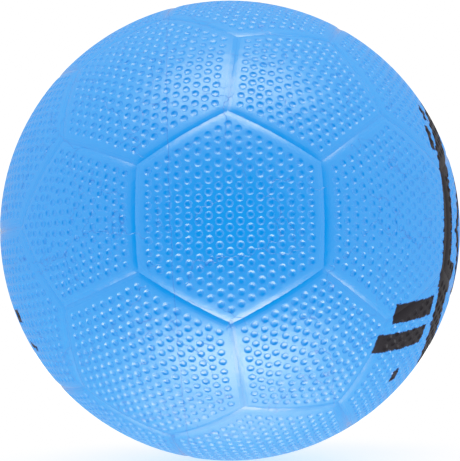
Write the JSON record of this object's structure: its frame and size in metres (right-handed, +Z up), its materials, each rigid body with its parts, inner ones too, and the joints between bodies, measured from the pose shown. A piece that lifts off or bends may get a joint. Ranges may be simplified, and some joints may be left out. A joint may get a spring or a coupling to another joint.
{
  "type": "playground rubber ball",
  "caption": "Hollow moulded rubber playground ball with dimpled five- and six-sided cover panels, thread-wound carcass, air bladder and needle valve.",
  "frame": {"origin": "centre of the ball, which is the centre of its box", "axes": "+Z up; +Y outward along the valve axis, through the middle of a six-sided panel; the opposite six-sided panel faces -Y, with a corner at +Z and a five-sided neighbour at -X"},
  "size_m": [0.22, 0.2199, 0.2198],
  "materials": {
    "cover_rubber": "satin moulded, dimpled",
    "carcass_rubber": "matt calendered sheet",
    "nylon_thread": "wound thread in rubber cement",
    "patch_fabric": "rubberised woven fabric",
    "bladder_rubber": "matt, dusted with talc",
    "valve_rubber": "smooth moulded",
    "plug_rubber": "smooth moulded"
  },
  "bodies": {
    "root": {"pent_panel_01": "cover_rubber", "pent_panel_02": "cover_rubber", "pent_panel_03": "cover_rubber", "pent_panel_04": "cover_rubber", "pent_panel_05": "cover_rubber", "pent_panel_06": "cover_rubber", "pent_panel_07": "cover_rubber", "pent_panel_08": "cover_rubber", "pent_panel_09": "cover_rubber", "pent_panel_10": "cover_rubber", "pent_panel_11": "cover_rubber", "pent_panel_12": "cover_rubber", "hex_panel_01": "cover_rubber", "hex_panel_02": "cover_rubber", "hex_panel_03": "cover_rubber", "hex_panel_04": "cover_rubber", "hex_panel_05": "cover_rubber", "hex_panel_06": "cover_rubber", "hex_panel_07": "cover_rubber", "hex_panel_08": "cover_rubber", "hex_panel_09": "cover_rubber", "hex_panel_10": "cover_rubber", "hex_panel_11": "cover_rubber", "hex_panel_12": "cover_rubber", "hex_panel_13": "cover_rubber", "hex_panel_14": "cover_rubber", "hex_panel_15": "cover_rubber", "hex_panel_16": "cover_rubber", "hex_panel_17": "cover_rubber", "hex_panel_18": "cover_rubber", "hex_panel_19": "cover_rubber", "valve_panel": "cover_rubber", "carcass": "carcass_rubber", "thread_winding": "nylon_thread", "valve_patch": "patch_fabric", "bladder": "bladder_rubber", "valve_housing": "valve_rubber", "valve_plug": "plug_rubber"}
  },
  "joints": []
}
